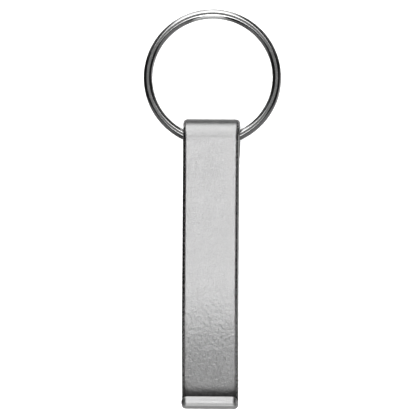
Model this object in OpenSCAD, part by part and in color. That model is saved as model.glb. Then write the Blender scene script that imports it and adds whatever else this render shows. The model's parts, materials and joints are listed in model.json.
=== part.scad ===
// Keychain bottle opener: one bent aluminium strip carried on a steel split ring.
//
// Frame: the opener lies on its back on a surface at z = 0, front face up.
// X runs across the strip, +Y points from the claw to the split ring.
// The origin is under the middle of the whole object's box.
//
// The strip is one rounded section swept along straight runs and arcs. The path
// is worked out in the strip's own side plane: y along the bar, z towards the
// front face, with the middle of the eye at (0, 0).

/* [Strip] */
// Width of the strip
strip_w = 13.1; // [10:0.1:18]
// Thickness of the strip
strip_t = 2.3; // [2:0.1:2.6]
// Radius along the strip's long edges
edge_r = 0.8; // [0.2:0.05:0.9]
// Length from the top of the eye to the outside of the claw
opener_len = 67.4; // [64:0.2:80]

/* [Eye] */
// Radius of the eye's bore, where the split ring runs
eye_bore_r = 2.4; // [2.3:0.1:3]
// Slit left between the end of the curl and the back of the bar
eye_slit = 0.5; // [0.2:0.1:1]

/* [Scoop] */
// Straight length of the bar, from the middle of the eye to where it sweeps back
bar_len = 33; // [28:0.5:36]
// Angle between the bar and the scoop's floor
sweep_deg = 17.5; // [14:0.5:20]
// Radius of the strip's middle line where it sweeps back
sweep_r = 62; // [40:1:66]

/* [Claw] */
// Radius inside the claw's bend
claw_bore_r = 0.6; // [0.5:0.1:1.2]
// Lean of the claw towards the handle
claw_lean = 10; // [5:0.5:16]
// How far the claw's tip stands proud of the front face
claw_proud = 0.3; // [0:0.1:1]
// Radius of the corners at the claw's tip
claw_corner_r = 1.2; // [0.7:0.1:2]

/* [Split ring] */
// Outer diameter of the split ring
ring_od = 32; // [30:0.5:35]
// Width of the wire, measured outwards from the ring's middle
wire_w = 2; // [1.8:0.1:2.2]
// Thickness of the wire, one turn of the two
wire_t = 1.2; // [1:0.05:1.25]
// Radius along the wire's edges
wire_edge_r = 0.5; // [0.3:0.05:0.5]
// Spring gap between the two turns
turn_gap = 0.1; // [0.05:0.05:0.2]
// Distance from the middle of the ring to the middle of the eye
ring_offset = 14.5; // [14:0.1:14.8]
// Angle over which the wire steps from the lower turn to the upper one
step_deg = 26; // [20:1:40]
// Where on the ring the step lies, counted from +X; -90 is hidden inside the eye
step_at = -90; // [-110:1:-30]

/* [Hidden] */
$fn = 96;

// Side plane: radii of the eye and of the claw's bend
eye_mid_r = eye_bore_r + strip_t / 2;
eye_outer_r = eye_bore_r + strip_t;
claw_mid_r = claw_bore_r + strip_t / 2;
claw_outer_r = claw_bore_r + strip_t;

// The curl runs from the front of the eye, over its top and round its back
curl_start = -180 - asin((eye_bore_r - eye_slit) / eye_outer_r);
curl_end = 90;

// The bar sweeps back about this centre, down to the start of the scoop's floor
sweep_centre = [-bar_len, eye_mid_r - sweep_r];
floor_start = sweep_centre + sweep_r * [-sin(sweep_deg), cos(sweep_deg)];

// The floor runs down to the claw's bend, whose outside ends the opener
claw_y = eye_outer_r + claw_outer_r - opener_len;
floor_end_y = claw_y + claw_mid_r * sin(sweep_deg);
floor_len = (floor_start.x - floor_end_y) / cos(sweep_deg);
floor_end = floor_start - floor_len * [cos(sweep_deg), sin(sweep_deg)];
claw_centre = floor_end + claw_mid_r * [-sin(sweep_deg), cos(sweep_deg)];
claw_base = claw_centre + claw_mid_r * [-cos(claw_lean), sin(claw_lean)];

// The claw's outer edge is its highest point
tip_z = eye_outer_r + claw_proud - strip_t / 2 * sin(claw_lean);
claw_len = (tip_z - claw_base.y) / cos(claw_lean);

// Lying down, the eye and the claw's bend both touch the surface
claw_span = norm(claw_centre);
lay_deg = asin((eye_outer_r - claw_outer_r) / claw_span)
        + atan2(claw_centre.y, -claw_centre.x);

// The ring hangs from the eye until its far side touches the surface
turn_z = (wire_t + turn_gap) / 2;
far_reach = ring_offset + ring_od / 2 - wire_edge_r;
edge_z = turn_z + wire_t / 2 - wire_edge_r;
ring_droop = asin((eye_outer_r - wire_edge_r) / norm([far_reach, edge_z]))
           - atan2(edge_z, far_reach);

// The eye's height, and its place along Y that centres the whole box
eye_z = eye_outer_r;
claw_end_y = claw_centre.x * cos(lay_deg) - claw_centre.y * sin(lay_deg) - claw_outer_r;
ring_end_y = far_reach * cos(ring_droop) + edge_z * sin(ring_droop) + wire_edge_r;
eye_y = -(claw_end_y + ring_end_y) / 2;

wire_mid_r = (ring_od - wire_w) / 2;
step_tilt = atan2(2 * turn_z, 2 * wire_mid_r * sin(step_deg / 2));

// Pieces reach a little into their neighbours, and the straight runs are a hair
// fuller than the bends, so that each part is one clean solid
run_lap = 0.05;
run_swell = 0.01;
step_lap_deg = 1.5;
slack = 1;

// A rectangle centred on the origin with rounded corners
module rounded_rect(size, r) {
    square([size.x - 2 * r, size.y], center = true);
    square([size.x, size.y - 2 * r], center = true);
    for (x = [-1, 1], y = [-1, 1])
        translate([x * (size.x / 2 - r), y * (size.y / 2 - r)]) circle(r);
}

// Turns the XY plane into the side plane: x becomes Y, y becomes Z, z becomes X
module side_plane() {
    rotate([90, 0, 90]) children();
}

// A stretch of strip round a centre in the side plane
module strip_bend(centre, mid_r, from, to) {
    translate(centre) rotate([0, 0, from]) rotate_extrude(angle = to - from)
        translate([mid_r, 0]) rounded_rect([strip_t, strip_w], edge_r);
}

// A straight stretch of strip from a point in the side plane
module strip_run(start, heading, length) {
    translate(start) rotate([0, 0, heading]) rotate([0, 90, 0])
        translate([0, 0, -run_lap]) linear_extrude(length + 2 * run_lap)
        rounded_rect([strip_w + 2 * run_swell, strip_t + 2 * run_swell], edge_r);
}

// The claw's straight end, with its two corners rounded in the strip's plane
module claw_tip() {
    intersection() {
        strip_run(claw_base, 90 - claw_lean, claw_len);
        translate(claw_base) rotate([0, 0, 90 - claw_lean])
            translate([claw_len / 2 - slack, 0, 0]) rotate([90, 0, 0])
            linear_extrude(2 * strip_t, center = true)
            rounded_rect([claw_len + 2 * slack, strip_w], claw_corner_r);
    }
}

// One aluminium strip: eye, bar, scoop and claw
module opener_body() {
    color("#c9cbcc")
    translate([0, eye_y, eye_z]) rotate([lay_deg, 0, 0]) side_plane() {
        strip_bend([0, 0], eye_mid_r, curl_start, curl_end);
        strip_run([0, eye_mid_r], 180, bar_len);
        strip_bend(sweep_centre, sweep_r, 90, 90 + sweep_deg);
        strip_run(floor_start, 180 + sweep_deg, floor_len);
        strip_bend(claw_centre, claw_mid_r, 180 - claw_lean, 270 + sweep_deg);
        claw_tip();
    }
}

// A stretch of the ring's wire, flat and centred on z = 0
module wire_arc(from, angle) {
    rotate([0, 0, from]) rotate_extrude(angle = angle)
        translate([wire_mid_r, 0]) rounded_rect([wire_w, wire_t], wire_edge_r);
}

// One steel wire in two turns, joined by a step that lies in the plane's tilt
module split_ring() {
    turn_deg = 360 - step_deg;
    color("#8d8f91")
    translate([0, eye_y, eye_z]) rotate([-ring_droop, 0, 0])
        translate([0, ring_offset, 0]) rotate([0, 0, step_at]) {
            translate([0, 0, -turn_z]) wire_arc(step_deg / 2, turn_deg);
            translate([0, 0, turn_z]) wire_arc(step_deg / 2, turn_deg);
            rotate([step_tilt, 0, 0])
                wire_arc(-step_deg / 2 - step_lap_deg, step_deg + 2 * step_lap_deg);
        }
}

opener_body();
split_ring();
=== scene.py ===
"""Keychain bottle opener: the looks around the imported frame.

Two pieces stand for the two CAD nodes. The strip is one rounded slab, bent along
the path that the CAD strip follows. The ring is one wire, wound in two turns.
Lengths are in metres, and mm() turns millimetres into them.
"""

import json
import math

import bpy
from mathutils import Matrix, Vector


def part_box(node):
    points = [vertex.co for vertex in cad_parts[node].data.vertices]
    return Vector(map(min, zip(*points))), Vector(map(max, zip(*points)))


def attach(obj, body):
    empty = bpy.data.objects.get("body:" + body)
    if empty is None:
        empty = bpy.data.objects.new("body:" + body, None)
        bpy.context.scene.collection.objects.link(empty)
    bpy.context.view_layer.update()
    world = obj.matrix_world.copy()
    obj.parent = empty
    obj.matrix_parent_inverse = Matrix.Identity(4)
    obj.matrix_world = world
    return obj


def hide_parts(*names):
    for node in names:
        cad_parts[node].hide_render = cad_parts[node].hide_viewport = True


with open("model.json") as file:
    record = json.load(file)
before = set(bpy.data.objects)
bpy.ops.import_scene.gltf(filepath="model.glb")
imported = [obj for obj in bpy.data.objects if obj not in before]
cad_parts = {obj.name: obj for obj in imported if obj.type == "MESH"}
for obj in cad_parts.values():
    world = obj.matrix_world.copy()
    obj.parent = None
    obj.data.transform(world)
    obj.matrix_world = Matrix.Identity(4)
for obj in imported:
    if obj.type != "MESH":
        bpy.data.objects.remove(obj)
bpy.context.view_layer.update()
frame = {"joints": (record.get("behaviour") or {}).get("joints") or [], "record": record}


def mm(value):
    return value * 0.001


def clamped(share):
    """The share, kept between 0 and 1."""
    return min(1, max(0, share))


def eased(share):
    """A share from 0 to 1 that starts and stops gently."""
    return share * share * (3 - 2 * share)


# ---------------------------------------------------------------- the frame

RECORD = frame["record"]
MOUNTS = {m["name"]: m for m in RECORD["mounts"]}
SWING = frame["joints"][0]
EYE = Vector(SWING["pos_m"])
FRONT = Vector(MOUNTS["front_face"]["axis"])
RING_MID = Vector(MOUNTS["ring_loop"]["pos_m"])
RING_NORMAL = Vector(MOUNTS["ring_loop"]["axis"])
ACROSS = Vector((1, 0, 0))

body_low, body_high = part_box("opener_body")
ring_low, ring_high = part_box("split_ring")

# ---------------------------------------------------------------- sizes

# Strip, as the CAD strip is bent
STRIP_W = body_high.x - body_low.x
STRIP_T = mm(2.3)
STRIP_LEN = mm(67.4)
EYE_OUTER_R = EYE.z - body_low.z
EYE_MID_R = EYE_OUTER_R - STRIP_T / 2
EYE_SLIT = mm(0.5)
BAR_LEN = mm(33)
SWEEP = math.radians(17.5)
SWEEP_R = mm(62)
CLAW_MID_R = mm(0.6) + STRIP_T / 2
CLAW_LEAN = math.radians(10)
CLAW_PROUD = mm(0.3)

# How the strip's edges round off, as (inset, depth): along the sides, up the claw's
# sides in the mouth, at the curl's end, and at the claw's tip in and out of the mouth
SIDE_ROUND = (mm(0.95), mm(0.8))
CLAW_SIDE_ROUND = (mm(1.15), mm(1.3))
CURL_ROUND = (mm(0.4), mm(0.4))
TIP_INNER_ROUND = (mm(0.45), mm(0.55))
TIP_OUTER_ROUND = (mm(0.8), mm(1.25))

# Radius of the four corners of the strip, seen flat
CORNER_R = mm(1.2)

# How far from its bend the claw's mouth gets painted shade, darker than the floor
MOUTH_SHADE_REACH = mm(3.8)

# How much of the scoop's orange peel shows on the flat bar
PEEL_ON_BAR = 0.25

# Ring, and its wire in two turns with a gap between them
RING_R = (ring_high.x - ring_low.x) / 2
WIRE_W = mm(2)
WIRE_T = mm(1.2)
TURN_GAP = mm(0.1)

# Width of the flats along the wire, on top and below, and length of its ends' rounding
WIRE_FLAT = mm(0.5)
WIRE_TIP = mm(0.14)

# Where the wire steps up to its second turn, counted from +X, and over what angle
STEP_AT = math.radians(-90)
STEP = math.radians(26)


# ---------------------------------------------------------------- the strip

def strip_path():
    """The strip's middle line in its side plane: a start, a heading and bends.

    Each bend is (length, curvature). The plane's axes run along the bar and out
    of the front face, from the middle of the eye.
    """
    curl_end = math.asin((EYE_OUTER_R - STRIP_T - EYE_SLIT) / EYE_OUTER_R)
    curl = 1.5 * math.pi + curl_end
    start_angle = math.pi / 2 - curl
    start = EYE_MID_R * Vector((math.cos(start_angle), math.sin(start_angle)))

    claw_outer_r = CLAW_MID_R + STRIP_T / 2
    floor_top = -BAR_LEN - SWEEP_R * math.sin(SWEEP)
    floor_foot = EYE_OUTER_R + claw_outer_r - STRIP_LEN + CLAW_MID_R * math.sin(SWEEP)
    floor = (floor_top - floor_foot) / math.cos(SWEEP)
    drop = SWEEP_R * (1 - math.cos(SWEEP)) + floor * math.sin(SWEEP)
    claw_z = EYE_MID_R - drop + CLAW_MID_R * math.cos(SWEEP)
    base_z = claw_z + CLAW_MID_R * math.sin(CLAW_LEAN)
    tip_z = EYE_OUTER_R + CLAW_PROUD - STRIP_T / 2 * math.sin(CLAW_LEAN)
    bends = [
        (curl * EYE_MID_R, 1 / EYE_MID_R),
        (BAR_LEN, 0),
        (SWEEP * SWEEP_R, 1 / SWEEP_R),
        (floor, 0),
        ((math.pi / 2 + CLAW_LEAN + SWEEP) * CLAW_MID_R, -1 / CLAW_MID_R),
        ((tip_z - base_z) / math.cos(CLAW_LEAN), 0),
    ]
    return start, start_angle + math.pi / 2, bends


PATH_START, PATH_HEADING, PATH_BENDS = strip_path()
CURL_LEN, _, SWEEP_LEN, FLOOR_LEN, CLAW_BEND_LEN, CLAW_LEN = (length for length, _ in PATH_BENDS)

# Distances along the strip to where the bar, the floor, the claw's bend and the strip end
BAR_END = CURL_LEN + BAR_LEN
FLOOR_END = BAR_END + SWEEP_LEN + FLOOR_LEN
CLAW_START = FLOOR_END + CLAW_BEND_LEN
PATH_LEN = CLAW_START + CLAW_LEN


def on_path(s):
    """The point and heading of the strip's middle line, s along it."""
    point, heading = PATH_START.copy(), PATH_HEADING
    last = len(PATH_BENDS) - 1
    for i, (length, bend) in enumerate(PATH_BENDS):
        step = s if i == last else min(s, length)
        if bend:
            turned = heading + bend * step
            point += Vector((math.sin(turned) - math.sin(heading),
                             math.cos(heading) - math.cos(turned))) / bend
            heading = turned
        else:
            point += step * Vector((math.cos(heading), math.sin(heading)))
        s -= step
        if s <= 0 and i < last:
            break
    return point, heading


def from_side_plane(plane_point, across):
    """A side plane's point in the part's frame. The plane is tipped as the front is."""
    y, z = plane_point
    along = FRONT.cross(ACROSS)
    return EYE + ACROSS * across + along * y + FRONT * z


def bent(s, u, v):
    """A flat strip's point, s along, u across and v towards the front, once bent."""
    point, heading = on_path(s)
    normal = Vector((math.sin(heading), -math.cos(heading)))
    return from_side_plane(point + v * normal, u)


def bent_normal(s, n):
    """A flat strip's normal (along, across, front) at s, once bent."""
    _, heading = on_path(s)
    tangent = Vector((math.cos(heading), math.sin(heading)))
    normal = Vector((math.sin(heading), -math.cos(heading)))
    turned = n.x * tangent + n.z * normal
    return (from_side_plane(turned, n.y) - EYE).normalized()


def stations():
    """Distances along the strip's sides, closer together where it bends."""
    longest, shortest, turn = mm(1), mm(0.12), math.radians(3)
    found, s = [], 0.0
    for length, bend in PATH_BENDS:
        pitch = min(longest, max(turn / abs(bend), shortest)) if bend else longest
        count = math.ceil(length / pitch)
        found += [s + length * k / count for k in range(count)]
        s += length
    off_corners = CORNER_R + mm(0.05)
    return [x for x in found if off_corners < x < PATH_LEN - off_corners]


def side_outline():
    """One side of the flat strip's outline, from end to end.

    It is the side with positive across. Each row is a place (along, across), the
    outline's normal there, and how its front and its back edge round off.
    """
    half = STRIP_W / 2
    corner_steps = 12
    quarter = [math.pi / 2 * k / corner_steps for k in range(corner_steps + 1)]

    def blend(start, end, share):
        return tuple(a + (b - a) * share for a, b in zip(start, end))

    rows = []
    for a in quarter:
        edge = blend(CURL_ROUND, SIDE_ROUND, math.sin(a))
        rows.append((CORNER_R * (1 - math.cos(a)), half - CORNER_R * (1 - math.sin(a)),
                     -math.cos(a), math.sin(a), edge, edge))
    for s in stations():
        front = blend(SIDE_ROUND, CLAW_SIDE_ROUND, nearness_to_tip(s))
        rows.append((s, half, 0, 1, front, SIDE_ROUND))
    for a in quarter:
        inner = blend(TIP_INNER_ROUND, CLAW_SIDE_ROUND, math.cos(a))
        outer = blend(TIP_OUTER_ROUND, SIDE_ROUND, math.cos(a))
        rows.append((PATH_LEN - CORNER_R * (1 - math.sin(a)),
                     half - CORNER_R * (1 - math.cos(a)),
                     math.sin(a), math.cos(a), inner, outer))
    return rows


def edge_profile(row):
    """Points and normals from the front face over the edge to the back face.

    The edge is a quarter of an ellipse on each side of a narrow upright band.
    """
    s, u, ns, nu, front_round, back_round = row
    out = []
    steps = 10
    for side, (inset, depth) in ((1, front_round), (-1, back_round)):
        for k in range(steps + 1):
            a = math.pi / 2 * (1 - k / steps if side > 0 else k / steps)
            in_by = inset * (1 - math.cos(a))
            v = side * (STRIP_T / 2 - depth * (1 - math.sin(a)))
            out_n, up_n = math.cos(a) / inset, side * math.sin(a) / depth
            normal = Vector((ns * out_n, nu * out_n, up_n)).normalized()
            out.append(((s - ns * in_by, u - nu * in_by, v), normal))
    return out


def depth_in_mouth(s):
    """How deep in the claw's mouth a point of the front face is: 1 in the bend. It sets how much
    painted shade the point gets.
    """
    beyond = max(FLOOR_END - s, s - CLAW_START)
    return eased(clamped(1 - beyond / MOUTH_SHADE_REACH))


def nearness_to_tip(s):
    """0 up to the claw's straight end, then rising to 1 at its tip."""
    return max(0, 1 - (PATH_LEN - s) / CLAW_LEN)


def stretched_by_bending(s):
    """How much orange peel shows: little on the bar, full on the scoop, none at the tip."""
    share = clamped((s - BAR_END) / SWEEP_LEN)
    return (PEEL_ON_BAR + (1 - PEEL_ON_BAR) * share) * (1 - nearness_to_tip(s))


def make_mesh(name, points, normals, faces, **marks):
    """A smooth mesh with its true normals, and marks that its material reads."""
    mesh = bpy.data.meshes.new(name)
    mesh.from_pydata(points, [], faces)
    mesh.validate()
    mesh.polygons.foreach_set("use_smooth", [True] * len(mesh.polygons))
    for mark, values in marks.items():
        mesh.attributes.new(mark, "FLOAT", "POINT").data.foreach_set("value", values)
    mesh.normals_split_custom_set_from_vertices(normals)
    piece = bpy.data.objects.new(name, mesh)
    bpy.context.scene.collection.objects.link(piece)
    return piece


def strip_mesh():
    """The bent slab: both faces as rows across, and one profile round the edge."""
    side = side_outline()
    last = len(side) - 1
    columns = 14
    across = [1 - 2 * k / columns for k in range(1, columns)]
    points, normals, faces = [], [], []
    wear, recess, stretch, tip = [], [], [], []
    face_end = PATH_LEN - TIP_INNER_ROUND[0] - mm(0.01)

    def add(flat, normal):
        s = flat[0]
        points.append(bent(*flat))
        normals.append(bent_normal(s, normal))
        tip.append(nearness_to_tip(s))
        # Rubbing is strongest half way round an edge, and fades up the claw
        wear.append(4 * normal.z ** 2 * (1 - normal.z ** 2) * (1 - tip[-1]))
        stretch.append(stretched_by_bending(s))
        # The tip's rounding into the mouth gets painted shade as dark as the mouth's bend
        shade = 1 if s > face_end else depth_in_mouth(s)
        recess.append(shade * max(0, normal.z) ** 2)
        return len(points) - 1

    def profile(row):
        return [add(flat, normal) for flat, normal in edge_profile(row)]

    def mirrored(row):
        s, u, ns, nu, *rounds = row
        return (s, -u, ns, -nu, *rounds)

    right = [profile(row) for row in side]
    left = [profile(mirrored(row)) for row in side]
    ends = {}
    for i in (0, last):
        s, reach, *rest = side[i]
        ends[i] = [profile((s, reach * share, *rest)) for share in across]

    def face_row(i, level, v, normal):
        """Point numbers across one face, from the right side to the left."""
        if i in ends:
            inner = [p[level] for p in ends[i]]
        else:
            s, u, ns, nu, front_round, back_round = side[i]
            inset = front_round[0] if v > 0 else back_round[0]
            s, u = s - ns * inset, u - nu * inset
            inner = [add((s, u * share, v), normal) for share in across]
        return [right[i][level]] + inner + [left[i][level]]

    for level, v, flip in ((0, STRIP_T / 2, False), (-1, -STRIP_T / 2, True)):
        normal = Vector((0, 0, 1 if v > 0 else -1))
        rows = [face_row(i, level, v, normal) for i in range(len(side))]
        for a, b in zip(rows, rows[1:]):
            for k in range(columns):
                quad = (a[k], b[k], b[k + 1], a[k + 1])
                faces.append(quad if flip else quad[::-1])

    loop = right + ends[last] + left[::-1] + ends[0][::-1]
    for a, b in zip(loop, loop[1:] + loop[:1]):
        for k in range(len(a) - 1):
            faces.append((a[k], b[k], b[k + 1], a[k + 1]))
    return make_mesh("opener_strip", points, normals, faces,
                     edge_wear=wear, recess=recess, stretch=stretch, tip=tip)


# ---------------------------------------------------------------- the ring

def ring_mesh():
    """One oval wire, flat on top and below: a lower turn, a step up, and an upper turn."""
    mid_r = RING_R - WIRE_W / 2
    oval_w = WIRE_W - WIRE_FLAT
    rise = (WIRE_T + TURN_GAP) / 2
    outward_y = RING_NORMAL.cross(ACROSS)
    turn = 2 * math.pi - STEP
    total = 2 * turn + STEP
    tip_angle = WIRE_TIP / mid_r
    half_steps = 20
    half_round = [math.pi * (k / half_steps - 0.5) for k in range(half_steps + 1)]
    around = 2 * len(half_round)

    def height(a):
        """The wire's height above the ring's middle plane, and its slope."""
        share = clamped((a - turn) / STEP)
        steepness = 6 * share * (1 - share) / STEP
        return rise * (2 * eased(share) - 1), 2 * rise * steepness / mid_r

    def section(a, scale, close):
        """Points and normals round the wire. The normals turn to the tip as it closes."""
        angle = STEP_AT + STEP / 2 + a
        outward = ACROSS * math.cos(angle) + outward_y * math.sin(angle)
        forward = outward_y * math.cos(angle) - ACROSS * math.sin(angle)
        lift, slope = height(a)
        up = (RING_NORMAL - forward * slope).normalized()
        centre = RING_MID + outward * mid_r + RING_NORMAL * lift
        ring = []
        for side in (1, -1):
            for b in half_round:
                x = side * (WIRE_FLAT / 2 + oval_w / 2 * math.cos(b))
                z = side * WIRE_T / 2 * math.sin(b)
                normal = outward * (math.cos(b) / oval_w) + up * (math.sin(b) / WIRE_T)
                normal = (normal * side).normalized()
                normal = normal * math.cos(close) + forward * math.sin(close)
                ring.append((centre + outward * x * scale + up * z * scale, normal))
        return ring

    # Each stop is (angle along the wire, scale of the section, turn of its normals).
    # The cut ends close in a rounding, to a flat that is narrower than the wire.
    pitch = math.radians(1.25)
    count = math.ceil(total / pitch)
    tip_steps, tip_shrink = 5, 0.28
    closing = []
    for k in range(tip_steps + 1):
        b = math.pi / 2 * k / tip_steps
        scale = 1 - tip_shrink * (1 - math.cos(b))
        closing.append((tip_angle * (1 - math.sin(b)), scale, b))
    stops = [(d, scale, -b) for d, scale, b in closing[::-1]]
    stops += [(tip_angle + (total - 2 * tip_angle) * k / count, 1, 0) for k in range(1, count)]
    stops += [(total - d, scale, b) for d, scale, b in closing]

    points, normals, faces, rings = [], [], [], []
    for stop in stops:
        first = len(points)
        for point, normal in section(*stop):
            points.append(point)
            normals.append(normal)
        rings.append(range(first, len(points)))
    for a, b in zip(rings, rings[1:]):
        for k in range(around):
            m = (k + 1) % around
            faces.append((a[k], b[k], b[m], a[m]))
    faces.append(tuple(rings[0]))
    faces.append(tuple(rings[-1][::-1]))
    return make_mesh("split_ring_wire", points, normals, faces)


# ---------------------------------------------------------------- materials

class Nodes:
    """A short way to add nodes to a tree and join them."""

    def __init__(self, tree):
        self.tree = tree

    def add(self, kind, **values):
        node = self.tree.nodes.new(kind)
        for key, value in values.items():
            setattr(node, key, value)
        return node

    def feed(self, socket, value):
        """Set a socket to a number, or join an output to it."""
        if isinstance(value, (int, float)):
            socket.default_value = value
        else:
            self.tree.links.new(value, socket)

    def math(self, operation, *values):
        node = self.add("ShaderNodeMath", operation=operation)
        for socket, value in zip(node.inputs, values):
            self.feed(socket, value)
        return node.outputs["Value"]

    def spread(self, value, start, end, low=0.0, high=1.0, kind="LINEAR"):
        """The value's start to end spread over low to high."""
        node = self.add("ShaderNodeMapRange", interpolation_type=kind)
        for name, number in (("Value", value), ("From Min", start), ("From Max", end),
                             ("To Min", low), ("To Max", high)):
            self.feed(node.inputs[name], number)
        return node.outputs["Result"]

    def factor(self, mask, inside):
        """1 where the mask is 0, and the number inside where it is 1."""
        return self.spread(mask, 0, 1, 1, inside)

    def noise(self, size, low, high, detail=2):
        """Solid noise whose blobs are about size across, from low to high."""
        usual_low, usual_high = 0.3, 0.7
        place = self.add("ShaderNodeTexCoord")
        noise = self.add("ShaderNodeTexNoise")
        self.feed(noise.inputs["Vector"], place.outputs["Object"])
        self.feed(noise.inputs["Scale"], 1 / size)
        self.feed(noise.inputs["Detail"], detail)
        return self.spread(noise.outputs["Fac"], usual_low, usual_high, low, high)

    def mark(self, name):
        """A number that the mesh carries at each of its points."""
        return self.add("ShaderNodeAttribute", attribute_name=name).outputs["Fac"]

    def bump(self, height, depth, normal=None):
        """A bump whose relief is depth deep, added to another if one is given."""
        node = self.add("ShaderNodeBump")
        self.feed(node.inputs["Distance"], depth)
        self.feed(node.inputs["Height"], height)
        if normal:
            self.feed(node.inputs["Normal"], normal)
        return node.outputs["Normal"]


def metal(name):
    """A bare metal's material, and its nodes and shader."""
    material = bpy.data.materials.new(name)
    material.use_nodes = True
    shader = material.node_tree.nodes["Principled BSDF"]
    shader.inputs["Metallic"].default_value = 1.0
    return material, Nodes(material.node_tree), shader.inputs


def satin_aluminium():
    """Clear-anodised aluminium: a fine even grain, with orange peel where it was bent."""
    # The tip's painted highlight, the darkest painted shade in the mouth, and how much smoother
    # rubbed edges are
    tip_painted_highlight, darkest_painted_shade, wear_smoother = 0.15, 0.22, 0.14
    material, n, shader = metal("satin_aluminium")

    # The colour: a fine speckle and faint clouds, a painted highlight on the tip and painted
    # shade in the mouth
    speckle = n.noise(size=mm(0.35), low=0.75, high=0.81, detail=3)
    clouds = n.noise(size=mm(9), low=-0.01, high=0.01)
    level = n.math("ADD", speckle, clouds)
    # Painted highlight: the colour gets lighter towards the claw's tip
    level = n.math("ADD", level, n.math("MULTIPLY", n.mark("tip"), tip_painted_highlight))
    # Painted shade: the colour darkens in the claw's mouth, most in its bend
    level = n.math("MULTIPLY", level, n.factor(n.mark("recess"), darkest_painted_shade))
    n.feed(shader["Base Color"], level)

    # Edges that were rubbed are smoother
    satin = n.noise(size=mm(0.5), low=0.33, high=0.39, detail=3)
    rubbed = n.math("MULTIPLY", n.mark("edge_wear"), -wear_smoother)
    n.feed(shader["Roughness"], n.math("ADD", satin, rubbed))

    grain = n.bump(n.noise(size=mm(0.2), low=0, high=1, detail=3), depth=mm(0.0015))
    peel = n.math("MULTIPLY", n.mark("stretch"), n.noise(size=mm(0.8), low=0, high=1))
    n.feed(shader["Normal"], n.bump(peel, depth=mm(0.065), normal=grain))
    return material


def bright_nickel():
    """Polished nickel plate on steel wire, with faint smears and waves."""
    material, n, shader = metal("bright_nickel")
    n.feed(shader["Base Color"], n.noise(size=mm(2.5), low=0.86, high=0.92, detail=3))
    n.feed(shader["Roughness"], n.noise(size=mm(1.2), low=0.03, high=0.07, detail=4))
    waves = n.noise(size=mm(0.9), low=0, high=1)
    n.feed(shader["Normal"], n.bump(waves, depth=mm(0.001)))
    return material


def white_paper():
    """The floor's plain matt white."""
    white = 0.9
    material = bpy.data.materials.new("white_paper")
    material.use_nodes = True
    shader = material.node_tree.nodes["Principled BSDF"].inputs
    shader["Base Color"].default_value = (white, white, white, 1)
    shader["Roughness"].default_value = 1.0
    shader["Specular IOR Level"].default_value = 0.0
    return material


# ---------------------------------------------------------------- the studio

def floor():
    """A plain white floor. Bright metal doesn't show it, so its outlines stay dark."""
    half = 3.0
    mesh = bpy.data.meshes.new("floor")
    corners = [(-half, -half, 0), (half, -half, 0), (half, half, 0), (-half, half, 0)]
    mesh.from_pydata(corners, [], [(0, 1, 2, 3)])
    mesh.materials.append(white_paper())
    plane = bpy.data.objects.new("floor", mesh)
    bpy.context.scene.collection.objects.link(plane)
    plane.visible_glossy = False


def overhead_light():
    """A wide soft light for the floor. What shines sees the tent's panels instead."""
    size, height, radiance = 4.0, 3.0, 8.0
    data = bpy.data.lights.new("overhead", "AREA")
    data.shape = "SQUARE"
    data.size = size
    data.energy = radiance * math.pi * size * size
    light = bpy.data.objects.new("overhead", data)
    light.location = (0, 0, height)
    light.visible_camera = False
    light.visible_glossy = False
    bpy.context.scene.collection.objects.link(light)


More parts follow.
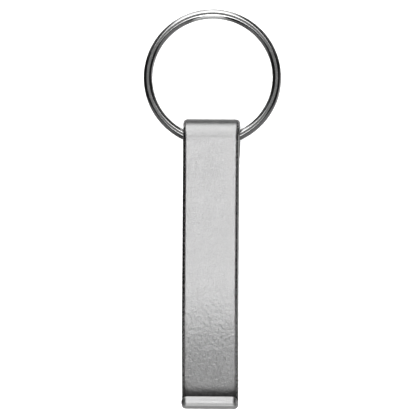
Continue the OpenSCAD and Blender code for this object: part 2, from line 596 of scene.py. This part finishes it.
def white_tent():
    """The tent round the object: dark walls with soft white panels.

    The camera itself sees only white. Azimuths count in degrees from +X towards +Y,
    and heights are the upward part of a direction, from -1 to 1.
    """
    dark, camera_white = 0.01, 1.5
    world = bpy.data.worlds.new("tent")
    world.use_nodes = True
    n = Nodes(world.node_tree)
    n.tree.nodes.clear()
    place = n.add("ShaderNodeTexCoord")
    split = n.add("ShaderNodeSeparateXYZ")
    n.feed(split.inputs["Vector"], place.outputs["Generated"])
    x, y, z = split.outputs

    # How far a direction reaches sideways. A little over 1 keeps it above 0 straight up.
    over_one = 1.0001
    level_reach = n.math("SQRT", n.math("SUBTRACT", over_one, n.math("MULTIPLY", z, z)))

    def fade(value, start, end, low, high):
        """From low before the start to high after the end, softly."""
        return n.spread(value, start, end, low, high, "SMOOTHSTEP")

    def band(value, low, high, soft):
        """1 where the value is from low to high, and 0 well outside."""
        rising = fade(value, low - soft, low + soft, 0, 1)
        falling = fade(value, high - soft, high + soft, 1, 0)
        return n.math("MULTIPLY", rising, falling)

    def wall(azimuth, half_width, low, high, soft_deg=7, soft=0.06):
        """A panel that stands on one side, from a low to a high edge."""
        a, half = math.radians(azimuth), math.radians(half_width)
        soft_edge = math.radians(soft_deg)
        along = n.math("ADD", n.math("MULTIPLY", x, math.cos(a)),
                       n.math("MULTIPLY", y, math.sin(a)))
        facing = n.math("DIVIDE", along, level_reach)
        sides = fade(facing, math.cos(half + soft_edge), math.cos(half - soft_edge), 0, 1)
        return n.math("MULTIPLY", sides, band(z, low, high, soft))

    # The roof is a narrow strip over the bar, which dims towards the claw's end and a
    # little towards the ring's. It has a gap for the lens, with a brighter rim, and the
    # flat of the ring's wire shows that gap.
    roof = n.math("MULTIPLY", band(x, low=-0.115, high=0.065, soft=0.035),
                  band(z, low=0, high=2, soft=0.2))
    claw_end = fade(y, start=-0.72, end=-0.20, low=0.07, high=1)
    ring_end = fade(y, start=0.30, end=0.62, low=1, high=0.5)
    lens_rim = n.factor(band(y, low=0.08, high=0.44, soft=0.06), inside=1.15)
    lens_gap = n.factor(band(y, low=0.205, high=0.31, soft=0.02), inside=0.06)
    for part in (claw_end, ring_end, lens_rim, lens_gap):
        roof = n.math("MULTIPLY", roof, part)

    # A dim ring of cloth fills the reflections low down, but not at the strip's sides
    sideways = n.math("DIVIDE", n.math("ABSOLUTE", x), level_reach)
    not_sides = fade(sideways, start=0.80, end=0.94, low=1, high=0)
    cloth = n.math("MULTIPLY", not_sides, band(z, low=0.12, high=0.52, soft=0.07))
    below = band(z, low=-2, high=-0.60, soft=0.15)

    # The walls stand beyond the ring, before the claw, at the left, and two at the right
    panels = (
        (roof, 3.15),
        (wall(azimuth=97, half_width=20, low=-0.05, high=0.90), 1.3),
        (wall(azimuth=272, half_width=17, low=-0.35, high=0.75), 0.9),
        (wall(azimuth=208, half_width=17, low=-0.50, high=0.95), 0.13),
        (wall(azimuth=323, half_width=25, low=-0.50, high=0.95), 0.18),
        (wall(azimuth=0, half_width=12, low=-0.50, high=0.25), 0.45),
        (below, 0.40),
        (cloth, 0.16),
    )
    total = dark
    for mask, radiance in panels:
        total = n.math("MAXIMUM", total, n.math("MULTIPLY", mask, radiance))
    shiny = n.add("ShaderNodeBackground")
    n.feed(shiny.inputs["Strength"], total)
    plain = n.add("ShaderNodeBackground")
    n.feed(plain.inputs["Strength"], camera_white)
    rays = n.add("ShaderNodeLightPath")
    mix = n.add("ShaderNodeMixShader")
    n.feed(mix.inputs["Fac"], rays.outputs["Is Camera Ray"])
    n.feed(mix.inputs[1], shiny.outputs["Background"])
    n.feed(mix.inputs[2], plain.outputs["Background"])
    out = n.add("ShaderNodeOutputWorld")
    n.feed(out.inputs["Surface"], mix.outputs["Shader"])
    bpy.context.scene.world = world


# ---------------------------------------------------------------- the camera

# The camera faces the bar's front, a little from the right and barely rolled
CAMERA_YAW = math.radians(1.7)
CAMERA_ROLL = math.radians(0.44)
CAMERA_DISTANCE = 2.5
VIEW_WIDTH = mm(97.45)
AIM = Vector((mm(-0.13), mm(-0.43), EYE.z + EYE_OUTER_R))


def camera():
    """A long lens that takes in the view's width at the front face."""
    data = bpy.data.cameras.new("camera")
    data.lens = data.sensor_width * CAMERA_DISTANCE / VIEW_WIDTH
    back = (FRONT * math.cos(CAMERA_YAW) + ACROSS * math.sin(CAMERA_YAW)).normalized()
    side = Vector((0, 1, 0)).cross(back).normalized()
    up = back.cross(side)
    turn = Matrix.Rotation(CAMERA_ROLL, 3, back)
    side, up = turn @ side, turn @ up
    seen = bpy.data.objects.new("camera", data)
    seen.matrix_world = Matrix((
        (side.x, up.x, back.x, 0), (side.y, up.y, back.y, 0),
        (side.z, up.z, back.z, 0), (0, 0, 0, 1)))
    seen.location = AIM + back * CAMERA_DISTANCE
    bpy.context.scene.collection.objects.link(seen)
    bpy.context.scene.camera = seen


# ---------------------------------------------------------------- putting it together

camera()
floor()
overhead_light()
white_tent()
bpy.context.scene.view_settings.view_transform = "Standard"

strip = strip_mesh()
strip.data.materials.append(satin_aluminium())
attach(strip, "opener")
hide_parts("opener_body")

ring = ring_mesh()
ring.data.materials.append(bright_nickel())
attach(ring, "ring")
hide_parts("split_ring")
